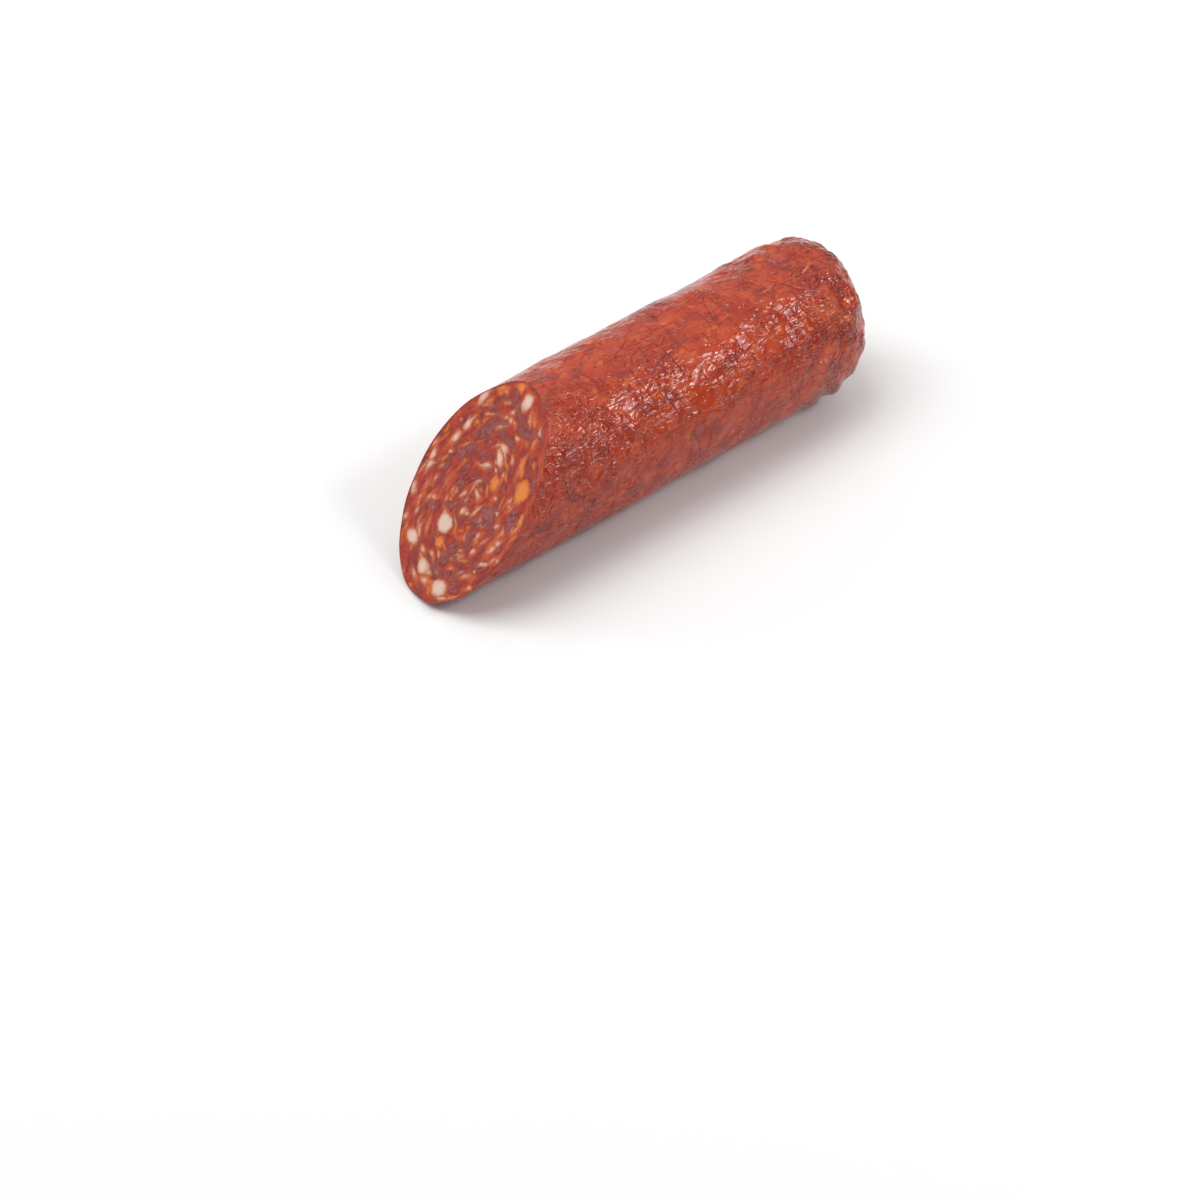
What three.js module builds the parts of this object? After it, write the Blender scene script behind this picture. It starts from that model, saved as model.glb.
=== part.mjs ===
// A stick of cured sausage with one end cut off at a slant, lying on its side.
// Millimetres, +Z up. X runs along the stick, from the cut to the closed end, Y across it, and Z = 0 is the
// surface it lies on. The origin is under the middle of the stick's length and width.
import * as THREE from "three";
import { mergeVertices } from "three/addons/utils/BufferGeometryUtils.js";

// The stick. Places along it are first measured from the middle of the cut.
const RADIUS = 37.5;
const LENGTH = 219.5; // along the axis, from the middle of the cut to the closed end
const REST_HALF_WIDTH = 9; // half the strip that has gone flat under the stick's own weight
const TAPER = 0.02; // share of the radius lost by the closed end
const CUT_END_LENGTH = 75; // the stretch near the cut that curls up and is a little thicker
const CUT_END_LIFT = 2.7;
const CUT_END_SWELL = 0.6;

// The slanted cut: how far it runs back for each millimetre of height, and of distance across
const CUT_RISE = 0.968;
const CUT_SKEW = 0.194;
const CUT_CURL = 8.5; // how much further it runs back over the top of the stick
const CURL_FROM = 0.45; // the share of the radius above the axis where that starts
const CUT_WAVINESS = 0.3; // soft unevenness left by the knife

// The closed end: a blunt dome, with the casing gathered to a pinch at its middle
const END_LENGTH = 34.3;
const END_BLUNTNESS = 3.2; // exponent of the dome's profile, where 2 is round
const END_LEAN = 0.179; // how far the +Y side stands out past the -Y side, for each millimetre across
const DIMPLE_RADIUS = 15;
const DIMPLE_DEPTH = 4;
const NUB_RADIUS = 5.5;
const NUB_LENGTH = 4.5;

// Relief of the casing, as the usual height of each kind
const LUMP_HEIGHT = 0.3; // soft unevenness of the whole stick
const RUMPLE_HEIGHT = 0.15; // rumples of the dried casing
const END_LUMP_HEIGHT = 0.45; // meat and fat that stand out under the casing near the closed end
const PLEAT_HEIGHT = 1.4; // folds of casing that run in to the pinch
const PLEATS = 11;

// How finely the surface is divided
const AROUND = 84;
const CUT_RINGS = 7;
const BODY_ROWS = 38;
const END_ROWS = 15;

const AXIS_HEIGHT = Math.sqrt(RADIUS ** 2 - REST_HALF_WIDTH ** 2);
const DOME_START = LENGTH - END_LENGTH;

const fraction = (value) => value - Math.floor(value);
const smooth = (value) => {
  const t = Math.min(Math.max(value, 0), 1);
  return t * t * (3 - 2 * t);
};

// Soft unevenness: a sum of waves that run along and round the stick. How often each goes round, how long
// it is and where it starts come from three irrational steps, so that no two waves line up.
function unevenness(along, angle, { waves, least, most, shortest, longest, first }) {
  let sum = 0;
  for (let k = first; k < first + waves; k += 1) {
    const times = Math.round(least + (most - least) * fraction(k * 0.6180339887));
    const length = shortest * (longest / shortest) ** fraction(k * 0.7548776662);
    const start = 2 * Math.PI * fraction(k * 0.569840291);
    const turn = k % 2 ? 1 : -1;
    sum += Math.cos(times * angle + (turn * 2 * Math.PI * along) / length + start);
  }
  return sum / Math.sqrt(waves / 2);
}

const LUMPS = { waves: 12, least: 2, most: 7, shortest: 34, longest: 130, first: 54 };
const RUMPLES = { waves: 16, least: 5, most: 16, shortest: 14, longest: 44, first: 21 };
const END_LUMPS = { waves: 14, least: 3, most: 12, shortest: 13, longest: 34, first: 35 };

// Folds of casing: rounded ridges with sharp valleys between them, unevenly spaced round the dome.
function pleats(angle) {
  const spread = angle + 0.22 * Math.sin(2 * angle + 0.9) + 0.09 * Math.sin(5 * angle + 2.1);
  return Math.abs(Math.sin((PLEATS / 2) * spread)) - 0.64;
}

// 1 at the lowest tip of the cut, fading to 0 where the cut end's curl and swelling stop.
const nearCut = (along) => smooth(1 - (along + RADIUS) / CUT_END_LENGTH);

// The radius at a place along the stick, from its plain radius there. The relief fades out where the dome
// closes, and closing is 0 on the body and 1 at the dome's middle.
function radiusAt(along, angle, plain) {
  const closing = 1 - plain / RADIUS;
  const nearEnd = smooth((along - DOME_START + END_LENGTH) / (1.4 * END_LENGTH));
  const relief =
    CUT_END_SWELL * nearCut(along) +
    LUMP_HEIGHT * unevenness(along, angle, LUMPS) +
    RUMPLE_HEIGHT * unevenness(along, angle, RUMPLES) +
    END_LUMP_HEIGHT * nearEnd * unevenness(along, angle, END_LUMPS) +
    PLEAT_HEIGHT * smooth(1.5 * closing) * pleats(angle);
  const taper = TAPER * (Math.max(along, 0) / LENGTH) ** 3;
  return plain * (1 - taper) + (1 - closing) * relief;
}

// A point of the skin, from its place along the stick, its angle and its radius. What would lie under the
// surface is flattened on to it.
function skinPoint(along, angle, radius) {
  const height = AXIS_HEIGHT + CUT_END_LIFT * nearCut(along) + radius * Math.sin(angle);
  return new THREE.Vector3(along, radius * Math.cos(angle), Math.max(0, height));
}

// Where the cut lies along the stick, at a distance across it and a height.
function cutAt(y, z) {
  const up = z - AXIS_HEIGHT;
  return CUT_RISE * up + CUT_SKEW * y + CUT_CURL * Math.max(0, up / RADIUS - CURL_FROM) ** 2;
}

// The rim of the cut at an angle: the point that lies both in the plane of the cut and in the skin.
function rimPoint(angle) {
  let point = skinPoint(0, angle, RADIUS);
  for (let step = 0; step < 8; step += 1) {
    const along = cutAt(point.y, point.z);
    point = skinPoint(along, angle, radiusAt(along, angle, RADIUS));
  }
  return point;
}

// A point of the cut face between its middle and a point of its rim. The knife's unevenness fades at both.
function cutPoint(rim, share) {
  const { y, z } = new THREE.Vector3(0, 0, AXIS_HEIGHT).lerp(rim, share);
  const wave = Math.cos(0.14 * y + 0.09 * z) + Math.cos(0.05 * y - 0.17 * z + 1.3);
  return new THREE.Vector3(cutAt(y, z) + CUT_WAVINESS * Math.sin(Math.PI * share) * wave, y, z);
}

// The dome's profile: how far past its start, and how far from the axis, in steps of equal length.
function domeProfile() {
  const samples = 60;
  const outline = Array.from({ length: samples + 1 }, (_, i) => {
    const turn = (Math.PI / 2) * (i / samples);
    const power = 2 / END_BLUNTNESS;
    return new THREE.Vector2(END_LENGTH * Math.sin(turn) ** power, RADIUS * Math.cos(turn) ** power);
  });
  return new THREE.SplineCurve(outline).getSpacedPoints(END_ROWS);
}

// How far the casing stands out from the dome near its middle: a dimple with the pinched nub inside.
function pinch(plain) {
  const dimple = DIMPLE_DEPTH * smooth(1 - plain / DIMPLE_RADIUS);
  const nub = (NUB_LENGTH + DIMPLE_DEPTH) * smooth((NUB_RADIUS - plain) / 3);
  return nub - dimple;
}

function domePoint(past, plain, angle) {
  const radius = radiusAt(DOME_START + past, angle, plain);
  const lean = END_LEAN * radius * Math.cos(angle) * (past / END_LENGTH);
  const point = skinPoint(DOME_START + past, angle, radius);
  point.x += lean + pinch(plain);
  return point;
}

// Rings of points from the middle of the cut out to its rim, along the body and over the dome.
function rings() {
  const angles = Array.from({ length: AROUND }, (_, i) => (2 * Math.PI * i) / AROUND);
  const rim = angles.map(rimPoint);
  const found = [];
  for (let ring = 1; ring <= CUT_RINGS; ring += 1) {
    found.push(rim.map((point) => cutPoint(point, ring / CUT_RINGS)));
  }
  for (let row = 1; row <= BODY_ROWS; row += 1) {
    found.push(
      angles.map((angle, i) => {
        const along = THREE.MathUtils.lerp(rim[i].x, DOME_START, row / BODY_ROWS);
        return skinPoint(along, angle, radiusAt(along, angle, RADIUS));
      }),
    );
  }
  for (const { x: past, y: plain } of domeProfile().slice(1, -1)) {
    found.push(angles.map((angle) => domePoint(past, plain, angle)));
  }
  return found;
}

// One closed skin of triangles over the rings, with a fan at the middle of the cut and of the dome.
function stickGeometry() {
  const found = rings();
  const last = found.length - 1;
  const points = [cutPoint(found[0][0], 0), ...found.flat(), domePoint(END_LENGTH, 0, 0)];
  const at = (ring, i) => 1 + ring * AROUND + (i % AROUND);
  const faces = [];
  for (let i = 0; i < AROUND; i += 1) {
    faces.push(0, at(0, i + 1), at(0, i));
    faces.push(at(last, i), at(last, i + 1), points.length - 1);
    for (let ring = 0; ring < last; ring += 1) {
      faces.push(at(ring, i), at(ring + 1, i + 1), at(ring + 1, i));
      faces.push(at(ring, i), at(ring, i + 1), at(ring + 1, i + 1));
    }
  }
  const geometry = new THREE.BufferGeometry().setFromPoints(points);
  geometry.setIndex(faces);
  return mergeVertices(geometry);
}

// Moves a shape so that the origin is under the middle of its length and width.
function standOverOrigin(geometry) {
  geometry.computeBoundingBox();
  const { min, max } = geometry.boundingBox;
  return geometry.translate(-(min.x + max.x) / 2, -(min.y + max.y) / 2, -min.z);
}

const geometry = standOverOrigin(stickGeometry());
geometry.computeVertexNormals();

const casing = new THREE.MeshStandardMaterial({
  name: "casing",
  color: new THREE.Color(0.56, 0.16, 0.1),
  roughness: 0.42,
  metalness: 0,
});

const sausage = new THREE.Mesh(geometry, casing);
sausage.name = "sausage";

const part = new THREE.Group();
part.name = "cured_sausage";
part.add(sausage);

export default part;
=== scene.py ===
"""A stick of cured sausage, cut off at a slant: its wrinkled oily casing and the marbled meat of the cut."""

import itertools

import bpy
import numpy as np
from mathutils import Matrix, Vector


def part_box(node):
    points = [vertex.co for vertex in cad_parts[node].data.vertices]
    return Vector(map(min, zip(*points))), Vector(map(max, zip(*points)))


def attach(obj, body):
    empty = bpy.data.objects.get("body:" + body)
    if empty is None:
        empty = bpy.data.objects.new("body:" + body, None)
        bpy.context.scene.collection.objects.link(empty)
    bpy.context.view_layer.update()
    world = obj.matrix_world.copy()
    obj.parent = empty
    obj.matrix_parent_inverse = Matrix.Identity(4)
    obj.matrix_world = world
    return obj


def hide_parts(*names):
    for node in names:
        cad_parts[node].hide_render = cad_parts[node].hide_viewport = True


# Sizes are in millimetres until they go into a mesh or the camera. Those of the floor and the lamps are in
# metres, and so are the patterns in the materials, but for their heights.
MM = 0.001

# The stick, with places along it measured from the middle of the cut
RADIUS = 37.5
LENGTH = 219.5
REST_HALF_WIDTH = 9.0
TAPER = 0.02
CUT_END_LENGTH = 75.0
CUT_END_LIFT = 2.7
CUT_END_SWELL = 0.6
AXIS_HEIGHT = np.sqrt(RADIUS**2 - REST_HALF_WIDTH**2)

# The slanted cut
CUT_RISE = 0.968
CUT_SKEW = 0.194
CUT_CURL = 8.5
CURL_FROM = 0.45
CUT_WAVINESS = 0.3
RIM_ROUNDS = 8  # how often the rim's place is worked out anew
SLOPE = np.hypot(1.0, CUT_RISE)  # length on the cut for each millimetre of height
CUT_NORMAL = np.array([-1.0, CUT_SKEW, CUT_RISE]) / np.sqrt(1.0 + CUT_SKEW**2 + CUT_RISE**2)

# The closed end
END_LENGTH = 34.3
END_BLUNTNESS = 3.2
END_LEAN = 0.179
DIMPLE_RADIUS = 15.0
DIMPLE_DEPTH = 4.0
NUB_RADIUS = 5.5
NUB_LENGTH = 4.5
NUB_EDGE = 3.0
DOME_START = LENGTH - END_LENGTH
PROFILE_SAMPLES = 400

# Relief of the casing: height, number of waves, least and most times round, shortest, longest, first
LUMPS = (0.3, 12, 2, 7, 34.0, 130.0, 54)
RUMPLES = (0.15, 16, 5, 16, 14.0, 44.0, 21)
END_LUMPS = (0.45, 14, 3, 12, 13.0, 34.0, 35)
WAVE_STEPS = (0.6180339887, 0.7548776662, 0.569840291)
PLEAT_HEIGHT = 1.4
PLEATS = 11
MEAN_SINE = 0.64  # mean size of a sine, which pleats are measured from

# Finer relief of the casing: how high or deep each kind is, and how large
TAUT_CELL_HEIGHT = 0.02  # crumpled cells where the casing is taut
SLACK_CELL_HEIGHT = 0.13  # and how much higher they are where it is slack
CELL_SIZE = 4.6
WRINKLE_DEPTH = 0.12  # wrinkles along the stick
WRINKLE_SPACING = 3.4
CREASE_DEPTH = 0.22  # short creases round the stick
CREASE_HALF_WIDTH = 0.55
CREASES = 46
END_FOLD_HEIGHT = 0.15  # folds near the closed end
END_PLEAT_HEIGHT = 0.30  # small pleats between the larger ones
END_PLEATS = 37
END_CELL_HEIGHT = 0.35  # crumpled cells near the closed end
RELIEF_BASE = -0.1  # brings the relief's usual height level with the solid's surface
FADE_ROWS = 5.0  # rows from the rim of the cut over which the finer relief grows
FADE_RADIUS = 5.0  # and distance from the dome's middle
DOME_SHARE = 0.5

# The casing's edge, rolled a little way over the cut
LIP_WIDTH = 0.45
LIP_HEIGHT = 0.06
LIP_ROWS = ((1.0, -0.2), (0.9, 0.5), (0.45, 1.0))  # each row's share of the width and of the height

# How finely the surfaces are divided: points round the stick, rows along its body and over its end
SOLID_GRID = (84, 38, 15)
CASING_GRID = (310, 224, 76)
CUT_SIDE = 312  # points along each side of the grid that is bent into the cut

# Relief of the cut: how high each kind stands, and how far in from its edge it has risen to that
CUT_RELIEF = {"fat": (0.16, 0.5), "orange": (0.10, 0.5), "lean": (-0.14, 0.8)}
STREAK_HEIGHT = 0.06
EDGE_DEPTH = 0.12  # how far the cut rounds off under the casing's edge
EDGE_WIDTH = 1.2
RELIEF_START = 0.8  # distance from the rim over which the relief grows
MASK_SLOPE = 0.25  # rise of a mask for each millimetre into a piece, from half at its edge
# Width of the painted shade along the rim of the cut
RIM_SHADE_WIDTH = 3.0

# The swirl in which the mince lies: its middle on the cut, the radius at which turns are measured as
# lengths, how much longer than wide its streaks and the lie of its pieces are, and how far the pieces turn
# outwards, in radians
SWIRL_X = -4.0
SWIRL_Y = 2.0
SWIRL_RADIUS = 22.0
STREAK_STRETCH = 1.5
LIE_STRETCH = 1.9
OUTWARD_TURN = 0.25

# How much each kind of larger piece strays from an oval, in the order in which the kinds are laid
STRAYING = {"lean": 1.5, "orange": 1.5, "fat": 1.1}
STREAK_STRAYING = 1.6
NO_PIECE = -4.0  # depth where no piece is near, in millimetres

# The larger pieces in the cut: kind, place across and up the cut, half length, half width and turn.
# Places and lengths are in millimetres on the cut, from its middle; the turn is in degrees.
PIECES = (
    ("fat", 1.2, 46.2, 4.2, 3.2, 88),
    ("fat", 25.0, 34.5, 5.2, 1.9, 101),
    ("fat", 24.4, 20.6, 3.8, 1.9, 111),
    ("fat", 27.4, 12.9, 3.4, 1.8, 107),
    ("fat", 33.0, -0.5, 3.4, 1.9, 83),
    ("fat", 31.0, -5.2, 3.2, 1.6, 104),
    ("fat", -3.6, 21.4, 4.6, 2.2, -150),
    ("fat", -2.3, 25.9, 3.1, 1.7, 175),
    ("fat", 4.0, -16.6, 4.3, 4.4, 107),
    ("fat", 17.3, -32.9, 4.4, 3.2, -173),
    ("fat", 2.0, -37.8, 4.0, 3.0, -170),
    ("fat", -13.1, -38.8, 5.4, 3.6, 156),
    ("fat", -3.5, 3.1, 2.6, 1.3, -165),
    ("fat", -1.6, -7.2, 2.1, 1.5, 90),
    ("orange", -25.2, 19.1, 5.3, 4.1, 78),
    ("orange", 18.5, 43.2, 4.4, 1.4, 135),
    ("orange", 8.5, 48.5, 2.3, 2.1, 76),
    ("orange", -33.5, 9.3, 3.2, 1.7, 80),
    ("orange", 1.3, -24.1, 3.1, 2.4, 122),
    ("orange", -8.8, 11.5, 3.6, 2.3, 64),
    ("orange", -18.3, 26.5, 4.4, 1.6, 59),
    ("lean", 15.7, 12.8, 8.0, 3.4, 131),
    ("lean", -7.2, 37.8, 6.8, 2.8, -170),
    ("lean", -15.6, -0.8, 4.6, 4.2, 90),
    ("lean", -28.3, 6.2, 6.6, 3.0, 78),
    ("lean", -6.2, -25.2, 7.4, 3.4, 110),
    ("lean", 6.1, -8.7, 5.6, 2.2, 137),
    ("lean", -12.7, -32.2, 8.6, 1.8, 133),
    ("lean", 13.5, 25.1, 7.0, 3.4, 113),
    ("lean", 19.3, -17.5, 4.4, 2.0, 129),
    ("lean", 3.5, 41.4, 6.0, 2.2, 6),
    ("lean", -13.9, -13.3, 4.6, 3.0, 76),
)

# The small bits of mince: for each kind its share of them, and its usual half length and half width
BITS = {"fat": (0.44, 1.8, 0.78), "orange": (0.14, 1.8, 0.85), "lean": (0.42, 3.4, 1.5)}
BIT_COUNT = 340
BIT_SEED = 7


def ease(value):
    """S-curve from 0 to 1: three times the square less twice the cube of the value."""
    t = np.clip(value, 0.0, 1.0)
    return t * t * (3.0 - 2.0 * t)


SCATTER_STEPS = np.array([127.1, 311.7, 74.7])
SCATTER_SEED_STEP = 19.19
SCATTER_SIZE = 43758.5453


def scatter(cubes, seed):
    """A value from 0 to 1 for each cube: the fraction left of a large sine of its whole-number place."""
    mixed = cubes @ SCATTER_STEPS + SCATTER_SEED_STEP * seed
    return np.mod(np.sin(mixed) * SCATTER_SIZE, 1.0)


def soft_noise(points, size, seed):
    """Noise from -1 to 1: scattered values at the corners of cubes of one size, blended by the S-curve."""
    scaled = points / size
    corner = np.floor(scaled)
    weight = ease(scaled - corner)
    total = 0.0
    for offset in itertools.product((0.0, 1.0), repeat=3):
        share = np.prod(np.where(np.array(offset) > 0.5, weight, 1.0 - weight), axis=-1)
        total = total + share * scatter(corner + offset, seed)
    return 2.0 * total - 1.0


def layered_noise(points, size, seed, layers=3):
    """Sum of soft noises, each at half the size and 0.55 of the height of the one before, over 1.4 to keep
    it near -1 to 1."""
    total = 0.0
    for layer in range(layers):
        total = total + 0.55**layer * soft_noise(points, size / 2**layer, seed + layer)
    return total / 1.4


def cell_borders(points, size, seed):
    """How far a place is from the border between scattered cells: the distance to the second nearest of one
    scattered point a cube, less that to the nearest, in cube sizes."""
    scaled = points / size
    home = np.floor(scaled)
    nearest = np.full(scaled.shape[:-1], np.inf)
    second = nearest.copy()
    for offset in itertools.product((-1.0, 0.0, 1.0), repeat=3):
        cube = home + offset
        place = cube + np.stack([scatter(cube, seed + part) for part in range(3)], axis=-1)
        gap = np.linalg.norm(place - scaled, axis=-1)
        second = np.where(gap < nearest, nearest, np.minimum(second, gap))
        nearest = np.minimum(nearest, gap)
    return second - nearest


def unevenness(along, angle, kind):
    """Sum of waves that run along and round the stick. How often each goes round, how long it is and where
    it starts come from three irrational steps, so that no two line up."""
    height, waves, least, most, shortest, longest, first = kind
    total = 0.0
    for k in range(first, first + waves):
        by_turns, by_length, by_start = (np.mod(k * step, 1.0) for step in WAVE_STEPS)
        rounds = np.floor(least + (most - least) * by_turns + 0.5)
        length = shortest * (longest / shortest) ** by_length
        start = 2.0 * np.pi * by_start
        turn = 1.0 if k % 2 else -1.0
        total = total + np.cos(rounds * angle + turn * 2.0 * np.pi * along / length + start)
    return height * total / np.sqrt(waves / 2.0)


def pleats(angle, count=PLEATS):
    """Folds of casing: the size of a sine of the angle, which is first spread unevenly, less its mean."""
    spread = angle + 0.22 * np.sin(2.0 * angle + 0.9) + 0.09 * np.sin(5.0 * angle + 2.1)
    return np.abs(np.sin(count / 2.0 * spread)) - MEAN_SINE


def near_cut(along):
    """1 at the lowest tip of the cut, fading to 0 where the cut end's curl stops."""
    return ease(1.0 - (along + RADIUS) / CUT_END_LENGTH)


def near_end(along):
    """0 on the body, rising to 1 over 1.4 lengths of the closed end as the stick closes."""
    return ease((along - DOME_START + END_LENGTH) / (1.4 * END_LENGTH))


def skin_radius(along, angle, plain):
    """Radius with the larger relief: the plain radius less the taper, plus swelling, lumps and pleats."""
    closing = 1.0 - plain / RADIUS
    relief = (
        CUT_END_SWELL * near_cut(along)
        + unevenness(along, angle, LUMPS)
        + unevenness(along, angle, RUMPLES)
        + near_end(along) * unevenness(along, angle, END_LUMPS)
        + PLEAT_HEIGHT * ease(1.5 * closing) * pleats(angle)
    )
    taper = TAPER * (np.maximum(along, 0.0) / LENGTH) ** 3
    return plain * (1.0 - taper) + (1.0 - closing) * relief


def skin_point(along, angle, radius):
    """Place of a skin point: what would lie under the resting surface is flattened on to it."""
    height = AXIS_HEIGHT + CUT_END_LIFT * near_cut(along) + radius * np.sin(angle)
    return np.stack([along, radius * np.cos(angle), np.maximum(0.0, height)], axis=-1)


def cut_along(across, height):
    """Where the cut lies along the stick: a slope up it and across it, with a curl over the top."""
    up = height - AXIS_HEIGHT
    curl = CUT_CURL * np.maximum(0.0, up / RADIUS - CURL_FROM) ** 2
    return CUT_RISE * up + CUT_SKEW * across + curl


def cut_rim(angle):
    """The rim of the cut: the point at each angle that lies both in the cut and in the skin. Each round
    takes the cut's place along the stick at the last point, and then the skin's point there."""
    point = skin_point(np.zeros(angle.shape), angle, RADIUS)
    for _ in range(RIM_ROUNDS):
        along = cut_along(point[..., 1], point[..., 2])
        point = skin_point(along, angle, skin_radius(along, angle, RADIUS))
    return point


def pinch(plain):
    """How far the casing stands out near the dome's middle: a dimple with the pinched nub inside."""
    dimple = DIMPLE_DEPTH * ease(1.0 - plain / DIMPLE_RADIUS)
    nub = (NUB_LENGTH + DIMPLE_DEPTH) * ease((NUB_RADIUS - plain) / NUB_EDGE)
    return nub - dimple


def dome_profile(steps):
    """How far past the dome's start and how far from the axis: a superellipse in steps of equal length."""
    turn = np.linspace(0.0, np.pi / 2.0, PROFILE_SAMPLES)
    power = 2.0 / END_BLUNTNESS
    past = END_LENGTH * np.sin(turn) ** power
    plain = RADIUS * np.maximum(np.cos(turn), 0.0) ** power
    run = np.concatenate([[0.0], np.cumsum(np.hypot(np.diff(past), np.diff(plain)))])
    even = np.linspace(0.0, run[-1], steps + 1)
    return np.interp(even, run, past), np.interp(even, run, plain)


def skin_grid(around, body_rows, end_rows):
    """Rows of (along, angle, plain radius) from the cut's rim to the dome's middle: even steps along the
    body, then even steps over the dome's profile."""
    angle = np.linspace(0.0, 2.0 * np.pi, around, endpoint=False)
    rim = cut_rim(angle)
    share = np.linspace(0.0, 1.0, body_rows + 1)[:, None]
    body = rim[:, 0] + (DOME_START - rim[:, 0]) * share
    past, plain = dome_profile(end_rows)
    dome = np.broadcast_to((DOME_START + past[1:])[:, None], (end_rows, around))
    along = np.concatenate([body, dome])
    radius = np.concatenate([np.full(body.shape, RADIUS), np.broadcast_to(plain[1:, None], dome.shape)])
    return along, np.broadcast_to(angle, along.shape), radius


def crease_lines(along, angle, seed):
    """Depth from 0 to 1 of short creases that run round the stick: for each, a narrow bell across a line
    that leans a little, ending softly, with place, reach and lean from a seeded draw."""
    draw = np.random.default_rng(seed)
    depth = np.zeros(along.shape)
    for _ in range(CREASES):
        middle = draw.uniform(-20.0, LENGTH)
        place = draw.uniform(0.0, 2.0 * np.pi)
        reach = draw.uniform(0.10, 0.42)
        lean = draw.normal(0.0, 7.0)
        bend = draw.normal(0.0, 5.0)
        strength = draw.uniform(0.35, 1.0)
        away = np.mod(angle - place + np.pi, 2.0 * np.pi) - np.pi
        offset = along - middle - lean * away - bend * away**2
        line = np.exp(-((offset / CREASE_HALF_WIDTH) ** 2)) * ease(1.6 * (1.0 - np.abs(away) / reach))
        depth = np.maximum(depth, strength * line)
    return depth


def slackness(roll, along, angle):
    """0 where the casing is taut and 1 where it is slack: a soft noise that is lower on the taut sides and
    higher near the cut and the closed end, through the S-curve."""
    taut_side = np.cos(2.0 * (angle - np.radians(60.0)))
    loose_start = 0.6 * ease((90.0 - along) / 80.0)
    patches = layered_noise(roll, size=24.0, seed=5, layers=2)
    return ease(0.36 + 0.8 * patches - 0.30 * taut_side + loose_start + 0.4 * near_end(along))


def casing_relief(along, angle, plain):
    """Finer relief of the casing in millimetres, with masks. It is crumpled cells where the casing is slack,
    shallow wrinkles along the stick, short creases round it and folds that gather at the closed end."""
    roll = np.stack([along, RADIUS * np.cos(angle), RADIUS * np.sin(angle)], axis=-1)
    closing = 1.0 - plain / RADIUS
    gather = near_end(along)
    slack = slackness(roll, along, angle)
    warp = np.stack([soft_noise(roll, size=7.0, seed=90 + part) for part in range(3)], axis=-1)
    cells = cell_borders((roll + 1.6 * warp) * [0.62, 1.0, 1.0], CELL_SIZE, seed=11)
    lengthways = (roll + 1.2 * warp) * [0.25, 1.0, 1.0]
    wrinkles = 1.0 - np.abs(layered_noise(lengthways, WRINKLE_SPACING, seed=23, layers=2))
    creases = crease_lines(along, angle, seed=31)
    round_end = (roll + 2.0 * warp) * [1.0, 0.8, 0.8]
    folds = 1.0 - 2.0 * np.abs(layered_noise(round_end, size=9.0, seed=61, layers=2))
    end_cells = cell_borders(round_end, size=6.5, seed=71)
    small_pleats = pleats(angle + 0.1 * soft_noise(roll, 9.0, 67), END_PLEATS) * ease(2.5 * closing)
    end_relief = (
        END_FOLD_HEIGHT * folds
        + END_PLEAT_HEIGHT * small_pleats
        + END_CELL_HEIGHT * (ease(end_cells / 0.5) - 0.6)
    )
    height = (
        (TAUT_CELL_HEIGHT + SLACK_CELL_HEIGHT * slack) * ease(cells / 0.4)
        - WRINKLE_DEPTH * (0.2 + slack) * ease((wrinkles - 0.72) / 0.28)
        - CREASE_DEPTH * creases
        + gather * end_relief
    )
    # A mask of painted shade: it darkens the colour in the creases and along the borders of the crumpled
    # cells at the closed end
    crease_shade = np.maximum(0.8 * creases, 0.5 * gather * ease(1.0 - end_cells / 0.14))
    return height + RELIEF_BASE, {"slack": slack, "crease_shade": crease_shade, "gathered": gather}


def casing_surface(around, body_rows, end_rows, detail):
    """Points of the casing in rows, in the stick's own place, and the masks at each point. The finer relief
    fades to nothing at the rim of the cut and at the dome's middle, and on the dome a share of it stands out
    along the stick."""
    along, angle, plain = skin_grid(around, body_rows, end_rows)
    relief, masks = casing_relief(along, angle, plain)
    fade = ease(np.arange(len(along)) / FADE_ROWS)[:, None] * ease(plain / FADE_RADIUS)
    radius = skin_radius(along, angle, plain) + detail * fade * relief
    points = skin_point(along, angle, radius)
    points[..., 0] += END_LEAN * radius * np.cos(angle) * np.maximum(0.0, along - DOME_START) / END_LENGTH
    on_dome = ease(30.0 * (1.0 - plain / RADIUS))
    points[..., 0] += pinch(plain) + detail * DOME_SHARE * relief * on_dome * fade
    return points, masks


def lip_surface(around):
    """The casing's edge: three rows that step inwards from the rim over the cut, just proud of it."""
    angle = np.linspace(0.0, 2.0 * np.pi, around, endpoint=False)
    rim = cut_rim(angle)
    middle = np.array([0.0, 0.0, AXIS_HEIGHT])
    inward = middle - rim
    inward /= np.linalg.norm(inward, axis=-1, keepdims=True)
    rows = []
    for share, proud in LIP_ROWS:
        rows.append(rim + LIP_WIDTH * share * inward + LIP_HEIGHT * proud * CUT_NORMAL)
    return np.stack(rows)


def disc_grid(side):
    """A square grid bent into a disc: each coordinate times the root of 1 less half the other's square."""
    line = np.linspace(-1.0, 1.0, side)
    a, b = np.meshgrid(line, line, indexing="ij")
    return a * np.sqrt(1.0 - b * b / 2.0), b * np.sqrt(1.0 - a * a / 2.0)


def swirl_direction(x, y):
    """Direction in which the mince lies at a place on the cut: round a middle that is off centre, turned
    outwards a little, in radians."""
    return np.arctan2(y / LIE_STRETCH - 1.0, x - SWIRL_X) + np.pi / 2.0 + OUTWARD_TURN


def stretched(x, y, across, lengthwise):
    """Coordinates for streaks that follow the swirl: distance from its middle, in steps across, and the
    angle round it as a length, in steps lengthwise."""
    away_x, away_y = x - SWIRL_X, (y - SWIRL_Y) / STREAK_STRETCH
    reach = np.hypot(away_x, away_y)
    spiral = np.arctan2(away_y, away_x) + reach / SWIRL_RADIUS
    ring = SWIRL_RADIUS * np.stack([np.cos(spiral), np.sin(spiral)], axis=-1) / lengthwise
    return np.concatenate([(reach / across)[..., None], ring], axis=-1)


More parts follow.
